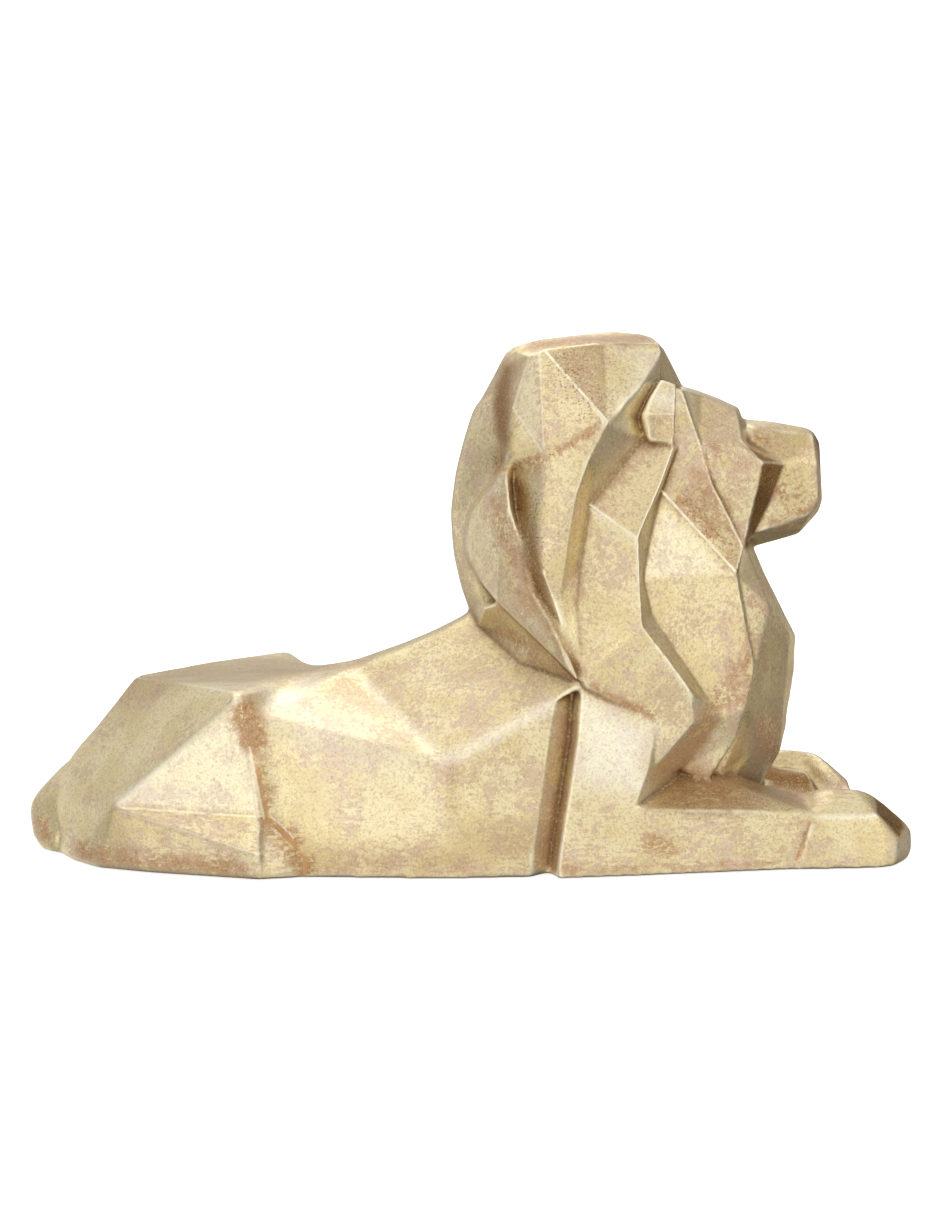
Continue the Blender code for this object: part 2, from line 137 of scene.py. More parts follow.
# start, end, reach in metres, strength
softFolds = dict(
    hipToBelly=((31, 87, 26), (48.3, 92, 20.3), 0.012, 0.8),
    bellyDown=((48.3, 18), (48.3, 3), 0.014, 1.0),
    saddleToBelly=((39, 32), (47, 22), 0.008, 0.22),
    spine=((38, 35), (50, 43), 0.008, 0.3),
    hipCrease=((28.6, 86, 28), (29.6, 88, 20), 0.009, 0.35),
    haunchRidge=((26, 30.5), (15, 14), 0.006, 0.10),
    haunchBack=((8, 22), (17, 28.5), 0.012, 0.35),
    rumpLump=((1, 8), (5, 14), 0.014, 0.30),
    bellyToRibs=((50, 21.5), (59, 30), 0.006, 0.10),
    napeValley=((53.6, 90), (53.4, 70), 0.008, 0.6),
    nape=((50, 50), (50.5, 84), 0.010, 0.45),
    groin=((29.8, 20), (30.6, 12), 0.006, 0.5),
    hipSaddle=((28.8, 30.8), (33.5, 31.2), 0.009, 0.6),
    hipEnd=((28.0, 34), (31.5, 33), 0.008, 0.6),
    grooveTop=((54.6, 73), (58.4, 74.6), 0.006, 0.55),
    crownFold=((66.2, 95), (65.6, 84), 0.006, 0.5),
    longRidge=((58.9, 73), (58.3, 57), 0.006, 0.6),
    chestFold=((84.5, 45), (82.5, 20), 0.007, 0.3),
    wristFold=((84, 14), (92, 13), 0.009, 0.3),
)

# Thin raised lines and scored seams: start, end, reach and height in metres
fineLines = dict(
    kneeRidge=((14.1, 12.4), (29.6, 11.7), 0.0011, 0.00018),
    kneeRidgeLow=((14.4, 12), (30.2, 4.6), 0.0011, 0.00018),
    crownRidge=((59.4, 94.6), (65.3, 80.6), 0.0010, 0.00020),
    crownEdge=((58.7, 94), (58.9, 75.4), 0.0009, 0.00008),
    frontRidge=((71.8, 68.8), (79.8, 54.0), 0.0009, 0.00020),
    frontBrow=((69.8, 53), (79.6, 53.5), 0.0011, 0.00008),
    midRidge=((66.4, 63.9), (68.5, 60.4), 0.0011, 0.00020),
    midCorner=((63.9, 65.5), (66.2, 64), 0.0011, 0.00020),
    wristSeam=((87.4, 8.8), (85.9, 2.4), 0.0008, -0.00012),
)

# Painted light and painted shade on facets, paler or deeper as light falls on them: outline, width of its
# edge in metres, share of light painted on, taken off where below 0, and for some how far out they begin, in
# percent of half the width
paintedFacetShading = dict(
    haunchFace=(((28, 31), (13, 13), (29.5, 12.5)), 0.002, 0.20),
    haunchFoot=(((13, 11), (29, 5), (30, 0), (10, 0), (7, 6)), 0.006, -0.08),
    shoulder=(((62.6, 32), (62.3, 17), (69, 15), (70.4, 26)), 0.014, 0.38),
    frontLockFace=(((72, 66), (79.6, 53.8), (69.6, 53.2)), 0.003, 0.16),
    saddle=(((30, 33), (34, 34), (37, 34.5), (47.6, 21)), 0.006, 0.02),
    crownMiddle=(((59.5, 94.8), (65.4, 80.4), (58.9, 75), (58.7, 94.2)), 0.0012, -0.06),
    crownShade=(((59.5, 94.8), (65.8, 96.1), (65.4, 80.4)), 0.0014, -0.31),
    crownSide=(((57.8, 93.8), (58.7, 94.2), (58.9, 75.5), (55.8, 84.2)), 0.0012, 0.08),
    crownRim=(((57, 95.4), (72, 96.6), (71, 99.5), (58, 98)), 0.004, -0.62),
    rearLock=(((55, 73), (51.3, 65), (50.7, 58), (54.2, 48),
               (60, 41), (57.6, 51), (55.6, 64.7)), 0.0015, 0.07),
    midBrow=(((69.9, 78.3), (73, 76.4), (71.4, 69.5), (68.7, 60.1), (66.3, 64), (63.9, 65.9)), 0.0014, -0.18),
    toeEnd=(((95.2, 9.6), (97.0, 11.5), (99.6, 8.0), (97.8, 4.8)), 0.0008, -1.1, 52),
    belly=(((33, 25), (48, 19), (48, 8), (35, 10)), 0.014, 0.06),
    noseWall=(((80.9, 77.8), (83.1, 73.9), (81.6, 58.1),
               (82.4, 58.2), (84.7, 67.2), (86.1, 73.7)), 0.0015, -0.80),
    muzzleTop=(((83, 83), (90.2, 81), (91, 78), (86.1, 74), (82.1, 77.7)), 0.004, -0.24),
    cheek=(((76, 88), (83, 83), (81, 78), (77, 76)), 0.004, -0.20),
    legTop=(((69.6, 11.9), (73, 15), (75.6, 17), (82, 15), (87.7, 10.6), (75.5, 10.4)), 0.004, -0.36),
    jawShade=(((73.6, 69.8), (77.4, 70), (81, 58), (80.1, 54)), 0.002, -0.16),
    napeShade=(((57.4, 94.2), (55.7, 84.2), (56.2, 80), (54.9, 77),
                (53.7, 80), (53.7, 89), (56, 94)), 0.0022, -0.22),
    breastFoot=(((84, 30), (90, 26), (88, 12), (82, 14)), 0.008, -0.12),
    earLow=(((69.2, 82.8), (73.4, 82.8), (73.4, 77.6), (70.2, 77.8)), 0.0010, -0.22),
)

# Painted shade and painted light in soft strokes across facets: start, end, reach in metres, share of light
paintedShadingStrokes = dict(
    napeTop=((55.2, 92.5), (54.5, 86), 0.0050, -0.5),
    nape=((54.5, 86), (54.7, 75), 0.0050, -0.55),
    rearGroove=((56.4, 69), (58.4, 50), 0.0055, -0.65),
    rearGrooveLow=((58.4, 50), (61.8, 37), 0.0045, -0.55),
    innerWall=((68.8, 17), (70.4, 13.5), 0.004, 0.12),
    belt=((61.9, 31), (59.7, 3), 0.0030, -0.20),
    flankFoot=((51, 6), (57, 6), 0.016, -0.22),
    bellyFoot=((34, 3), (50, 3), 0.011, -0.30),
    longShade=((60.3, 70), (61, 48), 0.008, -0.03),
    crownCorner=((71, 94), (67.5, 83), 0.008, 0.14),
    hipLight=((31, 28), (44, 22), 0.012, 0.14),
    saddleFold=((38, 33.6), (48.2, 20.9), 0.0035, 0.16),
    ribsFold=((48.8, 21), (59.6, 30.3), 0.0045, 0.24),
    bellyPoint=((49.1, 19.8), (49.4, 11), 0.0035, -0.20),
    haunchRidge=((27.3, 31.6), (14.4, 13.4), 0.0030, 0.14),
    innerToe=((88, 33, 8), (93, 33, 7), 0.012, -0.95),
    nearRidge=((29.4, 74, 30), (36, 18, 33.6), 0.008, 0.20),
    rumpValley=((12, 28, 31), (26, 40, 31.5), 0.013, -0.26),
    toeFoot=((97.5, 3), (99, 3), 0.006, 0.24),
    haunchTop=((13, 4, 32), (32, 4, 33), 0.040, -0.30),
    hipStrip=((20, 66, 32.6), (26, 68, 33), 0.006, 0.16),
    browLight=((64, 65.2), (68.2, 59.6), 0.0030, 0.16),
    pawEdge=((88.5, 9.4), (94.6, 9.0), 0.0016, 0.30),
    noseTip=((90.9, 80), (91.4, 73.5), 0.0035, -0.55),
    noseLow=((91, 73), (91.2, 66), 0.004, -0.15),
    hipSaddle=((30.5, 66, 31), (33.5, 22, 33), 0.010, 0.28),
    farToeEdge=((94.3, 45, 10), (96.3, 46, 5.5), 0.0035, -0.6),
    farToeSide=((90.5, 46, 12), (94.6, 47, 11), 0.005, -0.12),
    earTop=((71.5, 86), (73, 85.5), 0.006, 0.28),
    earFoot=((70.5, 79), (72.5, 78), 0.005, -0.12),
)

# Where the finish is worn to rust brown, where the leaf lies thick, and where it is stained dark:
# start, end, reach in metres, strength
rustStrokes = dict(
    hipCrease=((27.7, 86, 29.2), (28.6, 88, 25), 0.010, 1.2),
    hipCreaseLow=((29.2, 90, 24), (30.2, 94, 14), 0.006, 0.7),
    groin=((32, 8), (34, 2), 0.009, 1.0),
    haunchFoot=((9, 3), (27, 2), 0.008, 0.7),
    lumpFoot=((2.5, 5), (3.5, 3), 0.006, 0.9),
    belt=((61.8, 30), (59.6, 2), 0.006, 0.7),
    beltFoot=((60.4, 2.5), (61.5, 1.5), 0.005, 0.8),
    crownCrease=((54.8, 73), (58, 74), 0.006, 0.9),
    crownSeam=((59.5, 75), (64.5, 80), 0.0035, 0.8),
    crownLine=((58.4, 92), (58.8, 78), 0.0025, 0.45),
    rearLock=((54.2, 66), (57, 48), 0.012, 0.62),
    breast=((84, 50), (83.5, 26), 0.018, 0.42),
    breastLow=((84.5, 24), (87, 14), 0.012, 0.85),
    farToe=((90, 33, 8), (94, 36, 6), 0.014, 0.8),
    thighCrease=((29.9, 96, 11), (33.6, 94, 2), 0.006, 0.9),
    ring=((54, 43), (61.5, 36), 0.007, 0.6),
    underMane=((63.5, 33.5), (70.5, 28.5), 0.004, 0.9),
    frontLockFoot=((77.5, 31), (75.5, 24), 0.009, 0.9),
    frontLockEdge=((79.8, 37), (79, 30), 0.006, 0.7),
    breastSeam=((81.5, 43), (81, 30), 0.005, 0.7),
    armLock=((73, 20), (76, 17), 0.009, 0.5),
    legTop=((74, 14), (80, 13.5), 0.009, 0.75),
    legSide=((70.2, 6), (72, 5), 0.007, 0.95),
    wristSeam=((87.4, 8.5), (86, 2.5), 0.0014, 0.6),
    legFoot=((64, 1.5), (84, 1.5), 0.004, 0.5),
    pawTip=((98, 4), (99, 7), 0.004, 0.5),
    jaw=((76, 71), (79.5, 60), 0.012, 0.6),
    cheek=((78, 76), (81, 72), 0.010, 0.5),
    muzzleSide=((85.6, 71), (88.6, 66), 0.011, 0.85),
    frontLock=((74, 66.5), (79, 57.5), 0.010, 0.75),
    napeDark=((55, 88), (55, 76), 0.008, 0.5),
    muzzleFoot=((85, 62.5), (89, 62.5), 0.005, 0.7),
    muzzleRoot=((83.3, 79.5), (84.3, 78), 0.004, 0.9),
    earFoot=((71, 77.3), (73, 77), 0.003, 0.8),
)
leafStrokes = dict(
    haunchBack=((9, 24), (20, 31), 0.030, 0.6),
    rumpLump=((2, 9), (7, 10), 0.018, 0.7),
    haunchSide=((10, 7), (18, 6), 0.012, 0.7),
    belly=((33, 8), (48, 10), 0.018, 0.6),
    shoulderFoot=((64, 8), (67, 14), 0.012, 0.4),
    maneLow=((64, 48), (69, 40), 0.016, 0.5),
    frontLock=((72, 60), (79, 55), 0.016, 0.6),
    breast=((84, 42), (84, 30), 0.012, 0.8),
    paw=((89, 7), (95, 6), 0.012, 0.5),
    legBack=((78, 9), (84, 8), 0.006, 0.6),
    muzzle=((86, 72), (89, 68), 0.010, 0.5),
    crown=((57, 84), (56, 70), 0.012, 0.5),
)
sootStrokes = dict(
    crown=((61.5, 91), (63.5, 85), 0.014, 1.0),
    crownHigh=((66, 92), (68, 88), 0.012, 0.4),
    frontLock=((74.5, 67.5), (77.8, 60), 0.007, 0.8),
    jawLow=((79, 60), (80, 57), 0.006, 0.4),
    longLock=((57, 68), (58.5, 55), 0.008, 0.7),
    napeDark=((54.5, 84), (54.2, 74), 0.006, 0.8),
    breastEdge=((87, 45), (87.5, 38), 0.006, 0.6),
    breastFoot=((85.5, 18), (86.5, 15), 0.008, 0.7),
    toe=((96, 10), (97.5, 7.5), 0.008, 0.7),
    bellyPoint=((49.1, 19.8), (49.4, 14), 0.003, 0.6),
    legTop=((72, 13.5), (84, 12), 0.010, 0.45),
)


def linksOf(mesh):
    # For every vertex, the vertices it shares an edge with
    pairs = np.zeros(len(mesh.edges) * 2, np.int32)
    mesh.edges.foreach_get("vertices", pairs)
    pairs = pairs.reshape(-1, 2)
    both = np.vstack([pairs, pairs[:, ::-1]])
    both = both[np.argsort(both[:, 0], kind="stable")]
    count = np.bincount(both[:, 0], minlength=len(mesh.vertices))
    start = np.concatenate([[0], np.cumsum(count)[:-1]])
    return dict(to=both[:, 1], start=start, count=count[:, None])


def relax(points, links, rounds, share):
    # Moves each point half its share of the way to the mean of its neighbours, round by round
    for _ in range(rounds):
        mean = np.add.reduceat(points[links["to"]], links["start"]) / links["count"]
        points = points + 0.5 * share * (mean - points)
    return points


def triplesOf(collection, name):
    flat = np.zeros(len(collection) * 3, np.float32)
    collection.foreach_get(name, flat)
    return flat.reshape(-1, 3).astype(float)


def setPoints(mesh, points):
    mesh.vertices.foreach_set("co", points.astype(np.float32).ravel())
    mesh.update()


def setMask(mesh, name, values):
    mask = mesh.attributes.new(name, "FLOAT", "POINT")
    mask.data.foreach_set("value", values.astype(np.float32))


def applyModifier(obj, kind, **settings):
    modifier = obj.modifiers.new(kind.lower(), kind)
    for name, value in settings.items():
        setattr(modifier, name, value)
    graph = bpy.context.evaluated_depsgraph_get()
    mesh = bpy.data.meshes.new_from_object(obj.evaluated_get(graph))
    obj.modifiers.clear()
    obj.data = mesh
    return mesh


def waves(points, size, seed):
    # Smooth unevenness between -1 and 1, from seeded heights on a repeating lattice
    side = lionSkin["waveLattice"]
    lattice = np.random.default_rng(seed).uniform(-1, 1, (side, side, side))
    cell = points / size
    low = np.floor(cell).astype(int)
    part = ease(cell - low)
    total = np.zeros(len(points))
    for corner in itertools.product((0, 1), repeat=3):
        x, y, z = ((low + corner) % side).T
        share = np.abs(1 - np.array(corner) - part)
        total += share[:, 0] * share[:, 1] * share[:, 2] * lattice[x, y, z]
    return total


def roundEdges(mesh, links):
    s = lionSkin
    points = relax(triplesOf(mesh.vertices, "co"), links, s["edgeRounds"], 1.0)
    softness = paint(points, softFolds)
    foot = np.clip(1 - points[:, 2] / s["footReach"], 0, 1)
    softness = np.maximum(softness * (1 - foot), s["footSoftness"] * foot)
    points = relax(points, links, s["softRounds"], softness[:, None])
    setPoints(mesh, points)
    return points


def raiseRelief(mesh, points, normals):
    # Uneven planes and thin lines, fading to nothing at the foot
    s = lionSkin
    lift = s["slowWave"] * waves(points, s["slowWaveSize"], s["slowWaveSeed"])
    lift += s["quickWave"] * waves(points, s["quickWaveSize"], s["quickWaveSeed"])
    for start, end, reach, height in fineLines.values():
        lift += height * nearLine(points, start, end, reach)
    lift = lift * np.clip(points[:, 2] / s["footReach"], 0, 1)
    points = np.clip(points + lift[:, None] * normals, np.array(cadBox[0]), np.array(cadBox[1]))
    setPoints(mesh, points)
    return points


def paintedLightAndShadeOf(points):
    # Painted light and painted shade: share of light added to each point, or taken from it
    paintedLightAndShade = np.zeros(len(points))
    for corners, feather, amount, *outer in paintedFacetShading.values():
        far = np.abs(points[:, 1]) > max(outer, default=0) * cadBox[1][1] / 100
        paintedLightAndShade += amount * insideOf(points, corners, feather) * far
    strokes = [amount * nearLine(points, start, end, reach)
               for start, end, reach, amount in paintedShadingStrokes.values()]
    return paintedLightAndShade + (np.max(strokes, axis=0).clip(0) + np.min(strokes, axis=0).clip(None, 0))


def paintMasks(mesh, points, normals, links):
    # Ridge and hollow say in millimetres how far a point stands out of or lies in its surroundings
    narrow = relax(points, links, lionSkin["narrowRounds"], 1.0)
    wide = relax(narrow, links, lionSkin["wideRounds"], 1.0)
    setMask(mesh, "ridge", 1000 * np.einsum("ij,ij->i", points - narrow, normals))
    setMask(mesh, "hollow", 1000 * np.einsum("ij,ij->i", wide - points, normals))
    setMask(mesh, "rust", paint(points, rustStrokes))
    setMask(mesh, "leaf", paint(points, leafStrokes))
    setMask(mesh, "soot", paint(points, sootStrokes))
    # The painted light and painted shade, as a share of light
    setMask(mesh, "paintedLightAndShade", paintedLightAndShadeOf(points))


def castSkin():
    s = lionSkin
    skin = bpy.data.objects.new("lion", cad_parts[lionNode].data.copy())
    scene.collection.objects.link(skin)
    dense = applyModifier(skin, "REMESH", mode="VOXEL", voxel_size=s["grid"])
    print("grid", len(dense.vertices), "vertices")

    links = linksOf(dense)
    points = roundEdges(dense, links)
    normals = triplesOf(dense.vertex_normals, "vector")
    print("edges rounded")

    points = raiseRelief(dense, points, normals)
    paintMasks(dense, points, normals, links)
    print("masks painted")

    dense.calc_loop_triangles()
    light = applyModifier(skin, "DECIMATE", ratio=s["triangles"] / len(dense.loop_triangles))
    light.name = "lion"
    light.materials.clear()
    light.materials.append(giltMaterial())
    light.materials.append(baseMaterial())
    bottom = [face.center.z < s["undersideBelow"] and face.normal.z < s["undersideFacing"]
              for face in light.polygons]
    light.polygons.foreach_set("material_index", np.array(bottom, np.int32))
    light.shade_smooth()
    print("skin", len(light.polygons), "faces")
    return skin


class Sheet:
    # Short names for adding and joining nodes on one node tree
    def __init__(self, tree):
        self.tree = tree

    def node(self, kind, inputs=None, **settings):
        made = self.tree.nodes.new(kind)
        for name, value in settings.items():
            setattr(made, name, value)
        for name, value in (inputs or {}).items():
            self.feed(value, made.inputs[name])
        return made

    def feed(self, value, socket):
        if isinstance(value, bpy.types.NodeSocket):
            self.tree.links.new(value, socket)
        else:
            socket.default_value = value

    def math(self, operation, a, b=0.0, clamp=False):
        made = self.node("ShaderNodeMath", {0: a, 1: b}, operation=operation, use_clamp=clamp)
        return made.outputs[0]

    def vector(self, operation, a, b, **settings):
        # Ends in a number for a dot product or a distance, in a vector for anything else
        made = self.node("ShaderNodeVectorMath", {0: a, 1: b}, operation=operation, **settings)
        return made.outputs["Value" if operation in ("DOT_PRODUCT", "DISTANCE") else "Vector"]

    def plus(self, start, *parts):
        # start and each mask times its share
        for mask, share in parts:
            start = self.math("ADD", start, self.math("MULTIPLY", mask, share))
        return start

    def without(self, mask, share=1.0):
        # 1 where the mask is 0, and less by its share where it isn't
        return self.math("SUBTRACT", 1.0, self.math("MULTIPLY", mask, share))

    def step(self, value, start, end):
        # 0 below start, 1 above end, smooth between them
        made = self.node("ShaderNodeMapRange", {"Value": value, "From Min": start, "From Max": end})
        made.interpolation_type = "SMOOTHSTEP"
        return made.outputs["Result"]

    def grain(self, where, scale, detail=3.0, roughness=0.55, distortion=0.0):
        made = self.node("ShaderNodeTexNoise", {
            "Vector": where, "Scale": scale, "Detail": detail, "Roughness": roughness,
            "Distortion": distortion,
        })
        return made.outputs["Fac"]

    def around(self, noise):
        # Noise as a number on both sides of 0
        return self.math("SUBTRACT", noise, 0.5)

    def between(self, share, a, b):
        return self.node("ShaderNodeMix", {"Factor": share, "A": a, "B": b}).outputs["Result"]

    def mix(self, share, a, b, **settings):
        made = self.node("ShaderNodeMix", {"Factor": share, "A": a, "B": b}, data_type="RGBA", **settings)
        return made.outputs["Result"]

    def coat(self, color, paint, share, *others):
        # Lays the paint over the colour where all the masks and shares meet
        for other in others:
            share = self.math("MULTIPLY", share, other)
        return self.mix(share, color, paint)

    def mask(self, name):
        return self.node("ShaderNodeAttribute", attribute_name=name).outputs["Fac"]

    def group(self, name, inputs):
        return self.node("ShaderNodeGroup", inputs, node_tree=groups[name]).outputs

    def place(self):
        return self.node("ShaderNodeTexCoord").outputs["Object"]


# Shader node groups, built once and placed in each material with its own values
def newGroup(name, ins, outs):
    group = bpy.data.node_groups.new(name, "ShaderNodeTree")
    for socket, value in ins.items():
        kind = "NodeSocketVector" if isinstance(value, tuple) else "NodeSocketFloat"
        made = group.interface.new_socket(socket, in_out="INPUT", socket_type=kind)
        made.default_value = value
    for socket in outs:
        group.interface.new_socket(socket, in_out="OUTPUT", socket_type="NodeSocketFloat")
    sheet = Sheet(group)
    return group, sheet, sheet.node("NodeGroupInput").outputs


flakeLook = dict(
    lace=(5, 0.7, 0.5),          # detail, roughness and distortion of the noise
    strokes=(5, 0.7, 0.4),
    strokeStretch=(0.42, 1.0, 1.2),
    strokeScale=1.2,
    clouds=(75.0, 3, 0.6),       # scale, detail and roughness
    cloudShare=0.7,
    rim=(-0.03, 0.06),           # from bare to covered
)


def flakesGroup():
    # Torn leaf in lacy flecks that turn to strokes with streak, gathered in clouds, cut by one amount
    look = flakeLook
    ins = {"Amount": 0.5, "Patch Size": 0.0020, "Streak": 0.0}
    group, s, given = newGroup("leaf flakes", ins, ["Flakes"])
    where = s.place()
    drawn = s.node("ShaderNodeMapping", {"Vector": where, "Scale": look["strokeStretch"]}).outputs["Vector"]
    scale = s.math("DIVIDE", 1.0, given["Patch Size"])
    lace = s.grain(where, scale, *look["lace"])
    strokes = s.grain(drawn, s.math("MULTIPLY", scale, look["strokeScale"]), *look["strokes"])
    height = s.between(given["Streak"], lace, strokes)
    height = s.plus(height, (s.around(s.grain(where, *look["clouds"])), look["cloudShare"]))
    over = s.math("SUBTRACT", height, s.math("SUBTRACT", 1.0, given["Amount"]))
    s.node("NodeGroupOutput", {"Flakes": s.step(over, *look["rim"])})
    return group


grainLook = dict(
    dots=(3, 0.6),               # detail and roughness of the noise
    hairs=(2, 0.5),
    hairStretch=(0.12, 1.0, 0.9),
    shade=(60.0, 2, 0.5),        # scale, detail and roughness
)


def grainGroup():
    # Fine unevenness of the painted surface, as one height and one shade
    look = grainLook
    ins = {"Grain Size": 0.0011, "Brush Share": 0.35}
    group, s, given = newGroup("paint grain", ins, ["Height", "Shade"])
    where = s.place()
    drawn = s.node("ShaderNodeMapping", {"Vector": where, "Scale": look["hairStretch"]}).outputs["Vector"]
    scale = s.math("DIVIDE", 1.0, given["Grain Size"])
    dots, hairs = s.grain(where, scale, *look["dots"]), s.grain(drawn, scale, *look["hairs"])
    height = s.between(given["Brush Share"], dots, hairs)
    s.node("NodeGroupOutput", {"Height": height, "Shade": s.grain(where, *look["shade"])})
    return group


lineRim = (1.0, 0.3)             # from none at its half width to full at this share of it


def lineGroup():
    # 1 on a straight line as seen from the side, soft at its rims
    ins = {"Start": (0.0, 0.0, 0.0), "End": (0.1, 0.0, 0.0), "Half Width": 0.0006}
    group, s, given = newGroup("thin line", ins, ["Line"])
    own = s.vector("SUBTRACT", s.vector("MULTIPLY", s.place(), (1, 0, 1)), given["Start"])
    run = s.vector("SUBTRACT", given["End"], given["Start"])
    share = s.math("DIVIDE", s.vector("DOT_PRODUCT", own, run), s.vector("DOT_PRODUCT", run, run), True)
    nearest = s.node("ShaderNodeVectorMath", {0: run, "Scale": share}, operation="SCALE").outputs["Vector"]
    gap = s.math("DIVIDE", s.vector("DISTANCE", own, nearest), given["Half Width"])
    s.node("NodeGroupOutput", {"Line": s.step(gap, *lineRim)})
    return group


groups = dict(flakes=flakesGroup(), grain=grainGroup(), line=lineGroup())


def newMaterial(name):
    material = bpy.data.materials.new(name)
    material.use_nodes = True
    return material, Sheet(material.node_tree), material.node_tree.nodes["Principled BSDF"].inputs


gilt = dict(
    # Paints, from the ground up
    ground=(0.735, 0.575, 0.43, 1),
    groundTan=(0.68, 0.535, 0.345, 1),
    rust=(0.55, 0.30, 0.125, 1),
    rustDeep=(0.37, 0.17, 0.055, 1),
    freckle=(0.55, 0.36, 0.19, 1),
    leaf=(0.88, 0.785, 0.475, 1),
    leafDeep=(0.80, 0.68, 0.355, 1),
    speck=(0.60, 0.44, 0.255, 1),
    # Pale paints of the painted highlight on lit facets, plain and over leaf
    paintedHighlight=(0.96, 0.87, 0.74, 1),
    paintedHighlightOnLeaf=(0.985, 0.94, 0.74, 1),
    # Dark brown paint of painted shade, on facets and in the grooves
    paintedShade=(0.295, 0.150, 0.040, 1),
    dark=(0.15, 0.080, 0.030, 1),
    # Pale paint of worn edges, painted highlights and painted glints
    edge=(0.96, 0.89, 0.69, 1),
    # The most that each paint covers
    rustShare=0.85,
    freckleShare=0.48,
    freckleInRust=0.35,          # added where it is rusty
    leafShare=0.8,
    speckShare=0.46,
    grooveShadeShare=0.6,
    creaseShadeShare=0.6,
    dotShare=0.24,
    dotInSoot=0.6,               # added where it is stained dark
    glintShare=0.30,
    # worn edges with a painted highlight
    wearAndHighlightShare=0.6,
    # How much of the ground the leaf takes up
    leafAmount=0.53,
    leafWhereThick=0.11,
    leafInRust=-0.13,
    patchSize=0.0020,            # metres
    streakHeight=(0.045, 0.018),     # metres above the ground between which flecks turn to strokes
    # Painted light and painted shade on facets
    highlightPerShare=2.7,             # share of pale paint for each share of light
    shadePerShare=1.35,
    speckInHighlight=0.35,            # pale paint that the specks keep off
    # Where each mask starts and where it is full
    tanSteps=(0.36, 0.64),
    rustSteps=(0.10, 0.95),
    rustRim=(0.0, 0.25),
    rustRagged=1.6,              # how far torn noise moves the rim of the rust
    leafDeepSteps=(0.62, 0.78),
    leafSand=0.4,
    dotSteps=(0.53, 0.66),
    brokenSteps=(0.30, 0.52),    # gaps in the thin lines
    # Painted shade in the wide grooves
    grooveSteps=(0.75, 1.9),     # millimetres that a wide groove lies in, with torn noise added
    # Painted shade along narrow creases
    lineSteps=(0.07, 0.26),      # millimetres that a dark line lies in
    # Edges that stand out get wear and a painted highlight
    edgeSteps=(0.075, 0.24),     # millimetres that a rubbed edge stands out
    edgeTorn=0.16,               # how far torn and slow noise move that
    edgeSlow=0.35,
    # Sheen, and what each layer adds to it
    roughness=0.35,
    roughnessBare=0.06,
    roughnessRust=0.12,
    roughnessRubbed=-0.06,
    metal=0.76,
    metalLeaf=0.08,
    metalRust=-0.3,
    metalRubbed=0.15,
    grainSize=0.0011,            # metres
    brushShare=0.35,
    bump=0.00005,
)

# Noise that several layers share: scale, detail, roughness, distortion
giltNoises = dict(
    torn=(260, 6, 0.66, 0.4),
    slow=(45, 3, 0.6),
    sand=(1150, 3, 0.6),
)

# Spots of one paint: scale, detail and roughness of their noise, and where they start and are full
giltSpots = dict(
    rustDeep=((900, 4, 0.7), (0.44, 0.60)),
    freckles=((640, 5, 0.75), (0.52, 0.62)),
    specks=((820, 4, 0.7), (0.50, 0.60)),
    # Pale sparkle dots, painted glints
    paintedGlints=((1500, 2, 0.6), (0.54, 0.68)),
)

# Thin lines that are painted rather than cast: start, end, half their width in metres, colour, share
# The pale lines are painted highlights on ridges and fold edges, with wear; the dark line is painted shade at
# the nose; the rust lines run along the hip crease, groin, wrist and the ear's foot
thinLines = dict(
    crownRidge=((59.2, 95.0), (65.4, 81.2), 0.0007, "edge", 0.9),
    crownEdge=((58.7, 94.4), (58.8, 76.3), 0.0005, "edge", 0.45),
    crownCorner=((57.6, 94.0), (55.8, 84.2), 0.0006, "edge", 0.55),
    crownCornerLow=((55.8, 84.2), (58.6, 75.8), 0.0006, "edge", 0.55),
    frontRidge=((71.8, 68.8), (79.9, 53.9), 0.0007, "edge", 1.0),
    brow=((63.8, 66.4), (68.3, 60.6), 0.0007, "edge", 0.7),
    knee=((14.1, 12.1), (29.6, 11.7), 0.0006, "edge", 0.7),
    kneeLow=((14.4, 11.5), (30.2, 4.6), 0.0006, "edge", 0.5),
    haunchRidge=((26.6, 31.4), (14.2, 13.0), 0.0012, "edge", 0.45),
    crease=((28.6, 23.5), (30.1, 11.0), 0.0010, "rust", 0.7),
    creaseEdge=((28.2, 23.5), (29.8, 11.0), 0.0005, "edge", 0.7),
    groinHigh=((30.0, 11.0), (32.2, 7.2), 0.0010, "rust", 0.8),
    groinEdge=((30.4, 11.2), (32.7, 7.3), 0.0005, "edge", 0.6),
    groinMid=((32.2, 7.2), (33.9, 3.7), 0.0010, "rust", 0.8),
    groinLow=((33.9, 3.7), (33.9, 0.5), 0.0010, "rust", 0.8),
    wrist=((87.4, 8.4), (86.7, 4.4), 0.0007, "rust", 0.65),
    wristLow=((86.7, 4.4), (85.8, 2.0), 0.0008, "rust", 0.7),
    noseEdge=((90.5, 79.6), (90.9, 73.8), 0.0012, "dark", 0.6),
    earTurn=((69.6, 82.9), (72.9, 82.9), 0.0005, "edge", 0.5),
    earFoot=((70.3, 77.6), (72.9, 77.7), 0.0007, "rust", 0.8),
)


